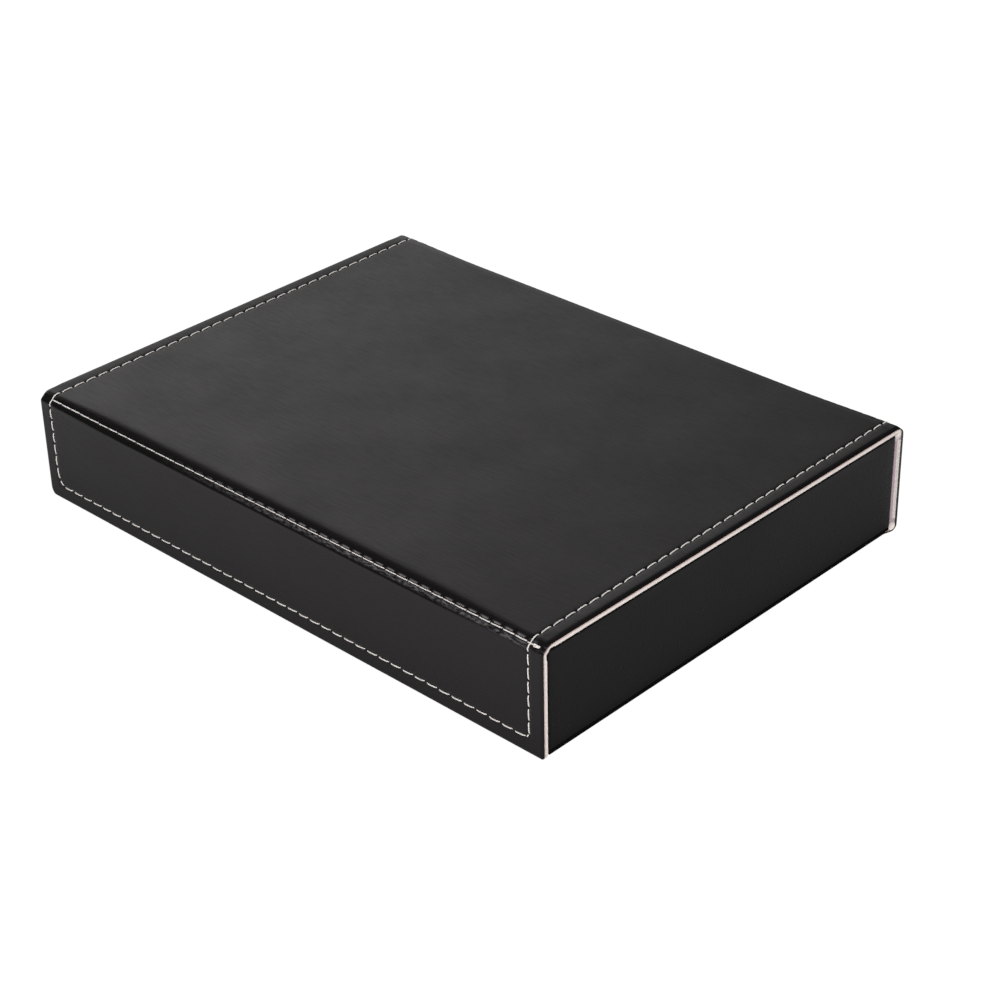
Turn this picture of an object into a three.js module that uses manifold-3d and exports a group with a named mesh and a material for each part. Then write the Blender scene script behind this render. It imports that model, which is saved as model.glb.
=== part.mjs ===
// Eyeglass display case: a flat box in black imitation leather with a pale padded lining.
// One stitched cover sheet runs from under the tray, up the back, over the top and down the front
// as a magnetic flap. It is soft along three stitched folds, and stiff boards fill it between them.
// A leather wrapped tray stands on the cover's base and holds eight velvet lined cells.
// Millimetres, +Z up. X runs along the long side, the flap faces -Y, and the origin is the middle
// of the underside.

import * as THREE from 'three';
import { mergeVertices } from 'three/addons/utils/BufferGeometryUtils.js';
import Module from 'manifold-3d';

const wasm = await Module();
wasm.setup();

// Outside of the closed case.
const caseLength = 320;
const caseDepth = 240;
const caseHeight = 55;

// Layers of the cover, from the outside in, with a line of glue between them.
const coverLeather = 1.0;
const coverBoard = 1.2;
const coverLining = 0.9;
const glueLine = 0.1;
const linedDepth = coverLeather + glueLine + coverBoard + glueLine;
const coverThickness = linedDepth + coverLining;

// The soft folds: outer radius, how far the boards stop short of the corner, and the slit that
// lets the two sides of a fold turn against each other.
const foldRadius = 5;
const boardSetback = 7;
const foldSlit = 0.3;
const footLining = 1.5;
const footRamp = 2;

// The hinge line of a fold is the middle of its outer arc, this far in from both outer faces.
const halfFold = Math.PI / 4;
const hingeInset = foldRadius * (1 - Math.cos(halfFold));

// Clearances between the cover and the tray.
const flapClearance = 0.9;
const spineClearance = 0.6;
const lidClearance = 0.6;
const endRecess = 1.0;
const flapGroundGap = 0.3;
const flapCornerRadius = 4;

// Sewing thread, let half its thickness into a groove in the leather.
const threadThickness = 0.7;
const threadClearance = 0.15;
const stitchInset = 8;
const foldThreadOverrun = 2;
const threadFoldAngle = Math.PI / 8;

// Tray: leather wrap, boards and velvet.
const trayLeather = 0.8;
const trayWall = 3.0;
const trayFloor = 2.4;
const trayVelvet = 1.0;
const trayEdgeRadius = 1.2;
const trayCornerRadius = 2;
const leatherTurnIn = 2.5;

// Dividers, which cross each other half way up.
const rowCount = 4;
const columnCount = 2;
const dividerCore = 2.0;
const dividerVelvet = 0.6;
const dividerDrop = 4;
const dividerEndGap = 0.3;
const slotClearance = 0.2;

// Padded floor of each cell.
const padThickness = 3;
const padClearance = 0.4;
const padCornerRadius = 2;
const padEdgeRadius = 0.9;

// Magnets of the flap and of the tray's front wall.
const magnetRadius = 6;
const magnetSpacing = 180;
const magnetHeight = 27.5;
const trayMagnetThickness = 1.5;
const magnetClearance = 0.2;

// Facets, and one overrun for every cut.
const arcSteps = 6;
const roundSides = 24;
const overrun = 2;

// Sizes that follow.
const trayFront = -caseDepth / 2 + coverThickness + flapClearance;
const trayBack = caseDepth / 2 - coverThickness - spineClearance;
const trayDepth = trayBack - trayFront;
const trayMiddle = (trayBack + trayFront) / 2;
const trayLength = caseLength - 2 * endRecess;
const trayBottom = coverLeather + glueLine;
const trayTop = caseHeight - coverThickness - lidClearance;
const floorTop = trayBottom + trayFloor;
const wallBottom = floorTop + glueLine;
const wallTop = trayTop - trayLeather - glueLine;
const wallHeight = wallTop - wallBottom;
const wallInset = trayLeather + glueLine;
const velvetInset = wallInset + trayWall + glueLine;
const cellInset = velvetInset + trayVelvet;
const velvetTop = wallTop - leatherTurnIn - glueLine;
const dividerThickness = dividerCore + 2 * (dividerVelvet + glueLine);
const dividerTop = trayTop - dividerDrop;
const dividerHeight = dividerTop - wallBottom;
const cellWidth = (trayLength - 2 * cellInset - (columnCount - 1) * dividerThickness) / columnCount;
const cellDepth = (trayDepth - 2 * cellInset - (rowCount - 1) * dividerThickness) / rowCount;
const threadRadius = threadThickness / 2;
const grooveRadius = threadRadius + threadClearance;
const stitchX = caseLength / 2 - stitchInset;

// Finishes, from the photograph.
const leatherFinish = { color: 0x1b1a1b, roughness: 0.42, metalness: 0 };
const boardFinish = { color: 0xcbb6b3, roughness: 0.9, metalness: 0 };
const velvetFinish = { color: 0xe0d6cb, roughness: 1, metalness: 0 };
const threadFinish = { color: 0xd9d5cf, roughness: 0.7, metalness: 0 };
const magnetFinish = { color: 0xb9bcc0, roughness: 0.25, metalness: 1 };

// A closed mesh geometry as a solid that can be cut and joined.
function toSolid(geometry) {
  const bare = geometry.clone();
  bare.deleteAttribute('normal');
  bare.deleteAttribute('uv');
  const merged = mergeVertices(bare);
  return new wasm.Manifold(new wasm.Mesh({
    numProp: 3,
    vertProperties: new Float32Array(merged.getAttribute('position').array),
    triVerts: new Uint32Array(merged.index.array),
  }));
}

// A solid as a mesh geometry.
function toGeometry(solid) {
  const mesh = solid.getMesh();
  const geometry = new THREE.BufferGeometry();
  geometry.setAttribute('position', new THREE.BufferAttribute(mesh.vertProperties, 3));
  geometry.setIndex(new THREE.BufferAttribute(mesh.triVerts, 1));
  geometry.computeVertexNormals();
  return geometry;
}

// A named mesh in its group.
function addPart(group, name, geometry, finish, position = [0, 0, 0]) {
  const mesh = new THREE.Mesh(geometry, new THREE.MeshStandardMaterial(finish));
  mesh.name = name;
  mesh.position.set(...position);
  group.add(mesh);
}

// A box between two corners.
function boxBetween(low, high) {
  const size = high.map((value, axis) => value - low[axis]);
  const middle = high.map((value, axis) => (value + low[axis]) / 2);
  return new THREE.BoxGeometry(...size).translate(...middle);
}

// An outline in (Y, Z), extruded along X from one place to another.
function extrudeAlongX(points, fromX, toX) {
  const shape = new THREE.Shape(points.map(([y, z]) => new THREE.Vector2(y, z)));
  const geometry = new THREE.ExtrudeGeometry(shape, { depth: toX - fromX, bevelEnabled: false });
  const axes = new THREE.Matrix4().makeBasis(
    new THREE.Vector3(0, 1, 0),
    new THREE.Vector3(0, 0, 1),
    new THREE.Vector3(1, 0, 0),
  );
  return geometry.applyMatrix4(axes).translate(fromX, 0, 0);
}

// A disc whose axis runs along a panel's depth.
function discAt(x, y, radius, fromZ, toZ) {
  const disc = new THREE.CylinderGeometry(radius, radius, toZ - fromZ, roundSides);
  return disc.rotateX(Math.PI / 2).translate(x, y, (fromZ + toZ) / 2);
}

// A rectangle with rounded corners, centred on the origin.
function roundedRectangle(width, depth, radius) {
  const x = width / 2 - radius;
  const y = depth / 2 - radius;
  const shape = new THREE.Shape();
  shape.absarc(x, y, radius, 0, Math.PI / 2, false);
  shape.absarc(-x, y, radius, Math.PI / 2, Math.PI, false);
  shape.absarc(-x, -y, radius, Math.PI, 1.5 * Math.PI, false);
  shape.absarc(x, -y, radius, 1.5 * Math.PI, 2 * Math.PI, false);
  return shape;
}

// A slab with that outline whose edges are rounded all round, between two heights.
function softSlab(width, depth, cornerRadius, edgeRadius, bottom, top) {
  const geometry = new THREE.ExtrudeGeometry(roundedRectangle(width, depth, cornerRadius), {
    depth: top - bottom - 2 * edgeRadius,
    bevelThickness: edgeRadius,
    bevelSize: edgeRadius,
    bevelOffset: -edgeRadius,
    bevelSegments: arcSteps / 2,
    curveSegments: arcSteps,
  });
  return geometry.translate(0, 0, bottom + edgeRadius);
}

// A panel of the cover lies in its own axes: Y along it from the outer corner at its start, and Z
// inward from its outer face. Points of one side of a layer at a folded end, from the flat part
// out to the fold's middle line. The sign is -1 at the panel's start and 1 at its end.
function foldArc(panel, sign, depth, reach, slit) {
  const radius = foldRadius - depth;
  const last = reach - Math.asin(slit / 2 / radius);
  const centre = sign < 0 ? foldRadius : panel.length - foldRadius;
  const points = [];
  for (let step = 0; step <= arcSteps; step += 1) {
    const angle = last * step / arcSteps;
    points.push([centre + sign * radius * Math.sin(angle), foldRadius - radius * Math.cos(angle)]);
  }
  return points;
}

// One side of a layer, from the panel's start to its end, at one depth.
function layerSide(panel, depth, reach, slit) {
  const start = panel.foldAtStart
    ? foldArc(panel, -1, depth, reach, slit).reverse()
    : [[panel.start, depth]];
  const end = panel.foldAtEnd ? foldArc(panel, 1, depth, reach, slit) : [[panel.end, depth]];
  return [...start, ...end];
}

// Outline of a whole layer between two depths.
function layerOutline(panel, fromDepth, toDepth, reach = halfFold, slit = foldSlit) {
  const outer = layerSide(panel, fromDepth, reach, slit);
  const inner = layerSide(panel, toDepth, reach, slit);
  return [...outer, ...inner.reverse()];
}

// Where a panel's board begins and ends.
function boardSpan(panel) {
  return [
    panel.foldAtStart ? boardSetback : panel.start,
    panel.foldAtEnd ? panel.length - boardSetback : panel.end,
  ];
}

// Outline of the padded lining: it closes round the board at a fold, where it fills the cover's
// full depth. At the foot of the spine it thins to clear the tray.
function liningOutline(panel) {
  const softDepth = coverLeather + glueLine;
  const [boardStart, boardEnd] = boardSpan(panel);
  const outer = layerSide(panel, softDepth, halfFold, foldSlit);
  const split = panel.foldAtStart ? arcSteps + 1 : 1;
  const atStart = panel.foldAtStart
    ? [...outer.slice(0, split), [boardStart - glueLine, softDepth], [boardStart - glueLine, linedDepth]]
    : [[panel.start, linedDepth]];
  const atEnd = panel.foldAtEnd
    ? [[boardEnd + glueLine, linedDepth], [boardEnd + glueLine, softDepth], ...outer.slice(split)]
    : [[panel.end, linedDepth]];
  const inner = layerSide(panel, coverThickness, halfFold, foldSlit);
  const foot = foldArc(panel, -1, softDepth + footLining, halfFold, foldSlit).reverse();
  const innerSide = panel.thinFoot
    ? [...foot, [foldRadius + footRamp, coverThickness], ...inner.slice(split)]
    : inner;
  return [...atStart, ...atEnd, ...innerSide.reverse()];
}

// A cover layer as wide as the case.
function fullWidth(outline) {
  return extrudeAlongX(outline, -caseLength / 2, caseLength / 2);
}

// The thread that runs along a panel at one side, and the groove that it lies in.
function edgeThread(panel, x) {
  const outline = layerOutline(panel, -threadRadius, threadRadius, threadFoldAngle, 0);
  return extrudeAlongX(outline, x - threadRadius, x + threadRadius);
}

function edgeGroove(panel, x) {
  const outline = layerOutline(panel, -overrun, grooveRadius, threadFoldAngle + threadClearance / foldRadius, 0);
  return extrudeAlongX(outline, x - grooveRadius, x + grooveRadius);
}

// The round groove that the thread of a fold lies in, on the hinge line at either end of a panel.
function foldGroove(y) {
  const groove = new THREE.CylinderGeometry(grooveRadius, grooveRadius, caseLength + overrun, roundSides);
  return groove.rotateZ(Math.PI / 2).translate(0, y, hingeInset);
}

function foldThread() {
  const length = 2 * (stitchX + foldThreadOverrun);
  return new THREE.CylinderGeometry(threadRadius, threadRadius, length, roundSides / 2).rotateZ(Math.PI / 2);
}

// The leather of a panel, with its grooves.
function panelLeather(panel, grooves) {
  let leather = toSolid(fullWidth(layerOutline(panel, 0, coverLeather)));
  if (panel.foldAtStart) leather = leather.subtract(toSolid(foldGroove(hingeInset)));
  if (panel.foldAtEnd) leather = leather.subtract(toSolid(foldGroove(panel.length - hingeInset)));
  for (const groove of grooves) leather = leather.subtract(toSolid(groove));
  return leather;
}

// The board of a panel.
function panelBoard(panel) {
  const [boardStart, boardEnd] = boardSpan(panel);
  const outerDepth = coverLeather + glueLine;
  return boxBetween(
    [-caseLength / 2, boardStart, outerDepth],
    [caseLength / 2, boardEnd, outerDepth + coverBoard],
  );
}

// A group whose origin is a hinge line, and in it the axes of the panel that turns there.
function hingedPanel(parent, y, z, quarterTurns) {
  const hinge = new THREE.Group();
  hinge.position.set(0, y, z);
  hinge.rotation.x = quarterTurns * Math.PI / 2;
  parent.add(hinge);
  const panel = new THREE.Group();
  panel.position.set(0, -hingeInset, -hingeInset);
  hinge.add(panel);
  return { hinge, panel };
}

// The cover's base: only leather, glued under the tray, which it carries.
function buildBase(group) {
  const panel = {
    length: caseDepth,
    start: caseDepth / 2 + trayFront + trayEdgeRadius,
    foldAtEnd: true,
  };
  const outline = layerOutline(panel, 0, coverLeather);
  const sheet = toSolid(extrudeAlongX(outline, -trayLength / 2, trayLength / 2));
  const leather = sheet.subtract(toSolid(foldGroove(caseDepth - hingeInset)));
  addPart(group, 'base_leather', toGeometry(leather), leatherFinish, [0, -caseDepth / 2, 0]);
}

// The spine stands behind the tray, from the bottom fold to the back fold.
function buildSpine(hinge, group) {
  const panel = { length: caseHeight, foldAtStart: true, foldAtEnd: true, thinFoot: true };
  const grooves = [edgeGroove(panel, -stitchX), edgeGroove(panel, stitchX)];
  addPart(group, 'spine_leather', toGeometry(panelLeather(panel, grooves)), leatherFinish);
  addPart(group, 'spine_board', panelBoard(panel), boardFinish);
  addPart(group, 'spine_lining', fullWidth(liningOutline(panel)), velvetFinish);
  addPart(group, 'spine_thread_left', edgeThread(panel, -stitchX), threadFinish);
  addPart(group, 'spine_thread_right', edgeThread(panel, stitchX), threadFinish);
  addPart(hinge, 'bottom_fold_thread', foldThread(), threadFinish);
}

// The lid lies over the tray, from the back fold to the front fold.
function buildLid(hinge, group) {
  const panel = { length: caseDepth, foldAtStart: true, foldAtEnd: true };
  const grooves = [edgeGroove(panel, -stitchX), edgeGroove(panel, stitchX)];
  addPart(group, 'lid_leather', toGeometry(panelLeather(panel, grooves)), leatherFinish);
  addPart(group, 'lid_board', panelBoard(panel), boardFinish);
  addPart(group, 'lid_lining', fullWidth(liningOutline(panel)), velvetFinish);
  addPart(group, 'lid_thread_left', edgeThread(panel, -stitchX), threadFinish);
  addPart(group, 'lid_thread_right', edgeThread(panel, stitchX), threadFinish);
  addPart(hinge, 'back_fold_thread', foldThread(), threadFinish);
}

// The outline of the flap, whose free corners are rounded, as a block to trim its layers with.
function flapBlank(end) {
  const shape = new THREE.Shape();
  const x = caseLength / 2;
  const top = -overrun;
  shape.moveTo(-x, top);
  shape.lineTo(x, top);
  shape.absarc(x - flapCornerRadius, end - flapCornerRadius, flapCornerRadius, 0, Math.PI / 2, false);
  shape.absarc(-x + flapCornerRadius, end - flapCornerRadius, flapCornerRadius, Math.PI / 2, Math.PI, false);
  const depth = coverThickness + foldRadius + 2 * overrun;
  const block = new THREE.ExtrudeGeometry(shape, { depth, bevelEnabled: false, curveSegments: arcSteps });
  return toSolid(block.translate(0, 0, -overrun));
}

// The flap's thread runs down one side, along the free edge and up the other side.
function flapThread(panel, radius) {
  const side = { ...panel, end: panel.end - stitchInset + radius };
  const low = [-stitchX - radius, side.end - 2 * radius, -radius];
  const high = [stitchX + radius, side.end, radius];
  const sides = [-stitchX, stitchX].map((x) => {
    const outline = layerOutline(side, -radius, radius, threadFoldAngle, 0);
    return toSolid(extrudeAlongX(outline, x - radius, x + radius));
  });
  return sides[0].add(sides[1]).add(toSolid(boxBetween(low, high)));
}

// The flap hangs in front of the tray from the front fold, with two magnets in its board.
function buildFlap(hinge, group) {
  const length = caseHeight - flapGroundGap;
  const panel = { length, start: 0, end: length, foldAtStart: true };
  const blank = flapBlank(length);
  const magnetY = caseHeight - magnetHeight;
  const magnetDepth = coverLeather + glueLine;
  const leather = panelLeather(panel, []).intersect(blank).subtract(flapThread(panel, grooveRadius));
  let board = toSolid(panelBoard(panel)).intersect(blank);
  const lining = toSolid(fullWidth(liningOutline(panel))).intersect(blank);
  for (const [side, x] of [['left', -magnetSpacing / 2], ['right', magnetSpacing / 2]]) {
    const pocketRadius = magnetRadius + magnetClearance;
    board = board.subtract(toSolid(discAt(x, magnetY, pocketRadius, 0, linedDepth)));
    const disc = discAt(x, magnetY, magnetRadius, magnetDepth, magnetDepth + coverBoard);
    addPart(group, `flap_magnet_${side}`, disc, magnetFinish);
  }
  addPart(group, 'flap_leather', toGeometry(leather), leatherFinish);
  addPart(group, 'flap_board', toGeometry(board), boardFinish);
  addPart(group, 'flap_lining', toGeometry(lining), velvetFinish);
  addPart(group, 'flap_edge_thread', toGeometry(flapThread(panel, threadRadius)), threadFinish);
  addPart(hinge, 'front_fold_thread', foldThread(), threadFinish);
}

// A box inside the tray, the same distance in from all four sides.
function insetBox(inset, bottom, top) {
  const x = trayLength / 2 - inset;
  const y = trayDepth / 2 - inset;
  return boxBetween([-x, -y, bottom], [x, y, top]);
}

// The tray's leather wraps its four walls, goes over the rim and is turned in below it.
function trayWrap() {
  const slab = softSlab(trayLength, trayDepth, trayCornerRadius, trayEdgeRadius, trayBottom, trayTop);
  const ring = toSolid(slab)
    .subtract(toSolid(insetBox(trayLeather, trayBottom - overrun, trayTop - trayLeather)))
    .subtract(toSolid(insetBox(velvetInset + trayLeather, trayBottom - overrun, trayTop + overrun)));
  const turnBottom = wallTop - leatherTurnIn;
  const turnIn = toSolid(insetBox(velvetInset, turnBottom, trayTop - trayLeather / 2))
    .subtract(toSolid(insetBox(velvetInset + trayLeather, turnBottom - overrun, trayTop + overrun)));
  return ring.add(turnIn);
}

// The tray's boards, its leather, and the magnets in its front wall.
function buildTrayShell(group) {
  const x = trayLength / 2 - wallInset;
  const y = trayDepth / 2 - wallInset;
  const floorLow = [-x, -y, trayBottom + glueLine];
  addPart(group, 'tray_base_board', boxBetween(floorLow, [x, y, floorTop]), boardFinish);
  let front = toSolid(boxBetween([-x, -y, wallBottom], [x, -y + trayWall, wallTop]));
  for (const [side, magnetX] of [['left', -magnetSpacing / 2], ['right', magnetSpacing / 2]]) {
    const pocketRadius = magnetRadius + magnetClearance;
    const pocketDepth = trayMagnetThickness + magnetClearance;
    const pocket = new THREE.CylinderGeometry(pocketRadius, pocketRadius, 2 * pocketDepth, roundSides);
    front = front.subtract(toSolid(pocket.translate(magnetX, -y, magnetHeight)));
    const disc = new THREE.CylinderGeometry(magnetRadius, magnetRadius, trayMagnetThickness, roundSides);
    addPart(group, `tray_magnet_${side}`, disc, magnetFinish, [magnetX, -y + trayMagnetThickness / 2, magnetHeight]);
  }
  addPart(group, 'tray_front_wall', toGeometry(front), boardFinish);
  addPart(group, 'tray_back_wall', boxBetween([-x, y - trayWall, wallBottom], [x, y, wallTop]), boardFinish);
  const endY = y - trayWall - glueLine;
  for (const [side, sign] of [['left', -1], ['right', 1]]) {
    const outer = sign * x;
    const inner = sign * (x - trayWall);
    const low = [Math.min(outer, inner), -endY, wallBottom];
    addPart(group, `tray_${side}_wall`, boxBetween(low, [Math.max(outer, inner), endY, wallTop]), boardFinish);
  }
  addPart(group, 'tray_leather', toGeometry(trayWrap()), leatherFinish);
}

// Four velvet covered cards line the walls below the turned in leather.
function buildWallVelvet(group) {
  const x = trayLength / 2 - velvetInset;
  const y = trayDepth / 2 - velvetInset;
  const endY = y - trayVelvet - glueLine;
  addPart(group, 'velvet_front', boxBetween([-x, -y, wallBottom], [x, -y + trayVelvet, velvetTop]), velvetFinish);
  addPart(group, 'velvet_back', boxBetween([-x, y - trayVelvet, wallBottom], [x, y, velvetTop]), velvetFinish);
  addPart(group, 'velvet_left', boxBetween([-x, -endY, wallBottom], [-x + trayVelvet, endY, velvetTop]), velvetFinish);
  addPart(group, 'velvet_right', boxBetween([x - trayVelvet, -endY, wallBottom], [x, endY, velvetTop]), velvetFinish);
}

// Middle of a row of cells in Y, of a column in X, and of the dividers between them.
function rowMiddle(row) {
  return (row - (rowCount - 1) / 2) * (cellDepth + dividerThickness);
}

function columnMiddle(column) {
  return (column - (columnCount - 1) / 2) * (cellWidth + dividerThickness);
}

// A divider along X of a given length, with slots cut from its top or its bottom edge: a board
// core, and a velvet sleeve that is open below.
function dividerPieces(length, slotPlaces, slotFromTop) {
  const half = length / 2;
  const coreTop = dividerTop - dividerVelvet - glueLine;
  const middle = wallBottom + dividerHeight / 2;
  let core = toSolid(boxBetween([-half, -dividerCore / 2, wallBottom], [half, dividerCore / 2, coreTop]));
  const room = dividerCore / 2 + glueLine;
  let sleeve = toSolid(boxBetween(
    [-half, -dividerThickness / 2, wallBottom],
    [half, dividerThickness / 2, dividerTop],
  )).subtract(toSolid(boxBetween(
    [-half - overrun, -room, wallBottom - overrun],
    [half + overrun, room, coreTop + glueLine],
  )));
  const slotHalf = dividerThickness / 2 + slotClearance;
  const slotLow = slotFromTop ? middle - slotClearance : wallBottom - overrun;
  const slotHigh = slotFromTop ? dividerTop + overrun : middle + slotClearance;
  for (const place of slotPlaces) {
    const slot = toSolid(boxBetween(
      [place - slotHalf, -dividerThickness, slotLow],
      [place + slotHalf, dividerThickness, slotHigh],
    ));
    core = core.subtract(slot);
    sleeve = sleeve.subtract(slot);
  }
  return { core: toGeometry(core), sleeve: toGeometry(sleeve) };
}

// One divider down the middle, between the columns, and three across it, between the rows.
function buildDividers(group) {
  const crossPlaces = [];
  for (let row = 1; row < rowCount; row += 1) crossPlaces.push((rowMiddle(row) + rowMiddle(row - 1)) / 2);
  const middleLength = trayDepth - 2 * (cellInset + dividerEndGap);
  const middle = dividerPieces(middleLength, crossPlaces, true);
  addPart(group, 'middle_divider_core', middle.core.rotateZ(Math.PI / 2), boardFinish);
  addPart(group, 'middle_divider_velvet', middle.sleeve.rotateZ(Math.PI / 2), velvetFinish);
  const crossLength = trayLength - 2 * (cellInset + dividerEndGap);
  crossPlaces.forEach((place, index) => {
    const cross = dividerPieces(crossLength, [0], false);
    addPart(group, `cross_divider_${index + 1}_core`, cross.core, boardFinish, [0, place, 0]);
    addPart(group, `cross_divider_${index + 1}_velvet`, cross.sleeve, velvetFinish, [0, place, 0]);
  });
}

// A velvet covered foam pad on the floor of each cell.
function buildPads(group) {
  const width = cellWidth - 2 * padClearance;
  const depth = cellDepth - 2 * padClearance;
  for (let row = 0; row < rowCount; row += 1) {
    for (const [column, side] of ['left', 'right'].entries()) {
      const pad = softSlab(width, depth, padCornerRadius, padEdgeRadius, wallBottom, wallBottom + padThickness);
      const place = [columnMiddle(column), rowMiddle(row), 0];
      addPart(group, `floor_pad_${row + 1}_${side}`, pad, velvetFinish, place);
    }
  }
}

const displayCase = new THREE.Group();
buildBase(displayCase);

const tray = new THREE.Group();
tray.position.y = trayMiddle;
displayCase.add(tray);
buildTrayShell(tray);
buildWallVelvet(tray);
buildDividers(tray);
buildPads(tray);

// The spine, the lid and the flap hang on each other, each a quarter turn on from the last.
const spine = hingedPanel(displayCase, caseDepth / 2 - hingeInset, hingeInset, 1);
buildSpine(spine.hinge, spine.panel);
const lid = hingedPanel(spine.hinge, caseHeight - 2 * hingeInset, 0, 1);
buildLid(lid.hinge, lid.panel);
const flap = hingedPanel(lid.hinge, caseDepth - 2 * hingeInset, 0, 1);
buildFlap(flap.hinge, flap.panel);

export default displayCase;
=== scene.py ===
"""Looks of the eyeglass display case: stitched black cover, leather wrapped tray and velvet lined cells.

The cover is drawn as one sheet in its own coordinates: x along the case, s along the sheet from the
bottom fold round the spine, the lid and the flap, and a depth in from its outer face. Lengths are in
millimetres here and become metres when a mesh or a material is made.
"""

import math

import bpy
import numpy as np
from mathutils import Matrix, Vector


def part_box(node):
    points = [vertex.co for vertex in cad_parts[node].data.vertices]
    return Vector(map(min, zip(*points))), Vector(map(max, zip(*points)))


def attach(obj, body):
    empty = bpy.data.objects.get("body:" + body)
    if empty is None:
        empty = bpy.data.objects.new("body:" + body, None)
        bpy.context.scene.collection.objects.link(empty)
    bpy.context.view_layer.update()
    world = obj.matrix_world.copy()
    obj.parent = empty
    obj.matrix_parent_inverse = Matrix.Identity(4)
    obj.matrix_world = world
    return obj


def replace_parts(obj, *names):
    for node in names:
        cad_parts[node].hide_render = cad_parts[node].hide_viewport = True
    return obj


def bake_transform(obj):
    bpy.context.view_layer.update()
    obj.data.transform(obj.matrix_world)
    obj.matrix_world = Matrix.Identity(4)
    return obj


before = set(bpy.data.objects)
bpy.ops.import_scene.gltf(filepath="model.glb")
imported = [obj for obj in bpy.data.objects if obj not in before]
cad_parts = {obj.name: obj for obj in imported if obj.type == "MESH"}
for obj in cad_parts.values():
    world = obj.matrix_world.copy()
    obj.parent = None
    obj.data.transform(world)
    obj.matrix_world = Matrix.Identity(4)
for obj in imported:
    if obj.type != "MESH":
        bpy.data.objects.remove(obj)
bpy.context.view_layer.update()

MM = 0.001

# Sizes that the frame gives.
lid_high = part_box("lid_leather")[1] / MM
flap_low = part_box("flap_leather")[0] / MM
tray_low, tray_high = (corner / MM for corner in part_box("tray_leather"))
HALF_LENGTH = lid_high.x
HALF_DEPTH = -flap_low.y
HEIGHT = lid_high.z
FLAP_GAP = flap_low.z

# Layers of the cover and its folds.
LEATHER = 1.0
GLUE = 0.1
BOARD = 1.2
UNDER_BOARD = LEATHER + BOARD + 2 * GLUE
FOLD_LINING = 0.35
LINING_ROUND = 0.5
COVER = 3.3
FOLD_RADIUS = 5.0
HALF_ARC = FOLD_RADIUS * math.pi / 4
BOARD_EDGE = HALF_ARC + 2.0
STRIP = 9.0
FLAP_CORNER = 4.4
FLAP_CORNER_RIGHT = 2.4
ROLL_WIDTH = 2.4
FLAP_ROLL_WIDTH = 1.7
ROLL_DROP = 0.92
SPINE_ROLL_WIDTH = 0.8
SPINE_ROLL_DROP = 0.12
SPINE_LINING_INSET = 1.2
EDGE_PINCH = 0.65
LIP = 0.14
LIP_DEPTH = 1.75
BASE_INSET = 0.9
BASE_FRONT_INSET = 1.2

# Places along the sheet.
S_BOTTOM = 0.0
S_BACK = S_BOTTOM + HEIGHT - 2 * FOLD_RADIUS + 2 * HALF_ARC
S_FRONT = S_BACK + 2 * HALF_DEPTH - 2 * FOLD_RADIUS + 2 * HALF_ARC
S_END = S_FRONT + HALF_ARC + HEIGHT - FOLD_RADIUS - FLAP_GAP
S_BASE = S_BOTTOM - HALF_ARC - (HALF_DEPTH - FOLD_RADIUS - tray_low.y) + BASE_FRONT_INSET
FOLD_PLACES = {"bottom": S_BOTTOM, "back": S_BACK, "front": S_FRONT}

# Sewing.
ROW_INSET = 8.0
ROW_X = HALF_LENGTH - ROW_INSET
S_ROW = S_END - ROW_INSET
PITCH = 7.1
FRONT_PITCH = 6.7
THREAD_WIDE = 0.285
THREAD_HIGH = 0.27
HOLE = 0.5
HOLE_GAP = 0.42
CORNER_LEFT = 3.4
CORNER_RIGHT = 1.4
ROW_PAST = 2.0
FRONT_ROW_PAST = 4.6
SIDE_HOLES = 7
CROSSINGS = {"bottom": (4.0, 4.0), "back": (4.0, 4.5), "front": (6.2, 4.6)}

# Relief of the leather: depths and heights, then widths.
UNEVENNESS = 0.035
HOLE_DIP = 0.34
ROW_GROOVE = 0.18
FOOT_GROOVE = 0.16
FOLD_GROOVE = 0.22
PUFF = 0.75
LOWER_PUFF = 0.16
CREASE = 0.16
WRINKLE = 0.08
BOARD_LINE = 0.14
STRIP_SWELL = 0.07
STRIP_RISE = 0.3
GROOVE_WIDTH = 1.0
FOLD_GROOVE_WIDTH = 0.75
BOARD_LINE_PLACE = 3.5
BOARD_LINE_WIDTH = 0.35

# Roughness of the stretched leather in the folds.
FOLD_ROUGHNESS = 0.24

# The tray's leather wrap.
WRAP_CORNER = 1.2
WRAP_SMALLEST = 0.5
WRAP_BULGE = 0.07
# Height of the wrap's foot whose shine is taken away as painted shade, and the fade above it.
SHADED_FOOT_HEIGHT = 3.6
SHADED_FOOT_FADE = 0.4
FOOT_RIDGE = ((0, 3.9), (0.05, 3.4), (0.11, 2.95), (0.14, 2.6), (0.11, 2.4), (0, 2.2))

# Padded pieces of the tray: rounding of the edges and swelling of the faces.
PAD_ROUND = 1.3
PAD_CROWN = 0.9
CARD_ROUND = 0.45
DIVIDER_CROWN = 0.25
MIDDLE_CROWN = 0.1
MIDDLE_GAP = 0.1
MIDDLE_LOWER = 0.3

RNG = np.random.default_rng(7)


def smooth(x, low, high):
    """0 below low and 1 above high, with a smooth step between."""
    f = np.clip((x - low) / (high - low), 0, 1)
    return f * f * (3 - 2 * f)


def window(x, start, full, fade, end):
    """1 between full and fade, and 0 before start and after end."""
    return smooth(x, start, full) * (1 - smooth(x, fade, end))


def to_end(x):
    """Distance from the nearer end of the case."""
    return HALF_LENGTH - np.abs(x)


def near_end(x, low, high):
    """1 closer than low to an end of the case and 0 further than high from it."""
    return 1 - smooth(to_end(x), low, high)


def on_spine(s):
    return window(s, S_BOTTOM - 1, S_BOTTOM + 4, S_BACK - 3, S_BACK + 2)


def from_fold(s):
    """Distance along the sheet from the middle of the nearest fold."""
    return np.min([np.abs(s - middle) for middle in FOLD_PLACES.values()], axis=0)


# The sheet's coordinates


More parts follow.
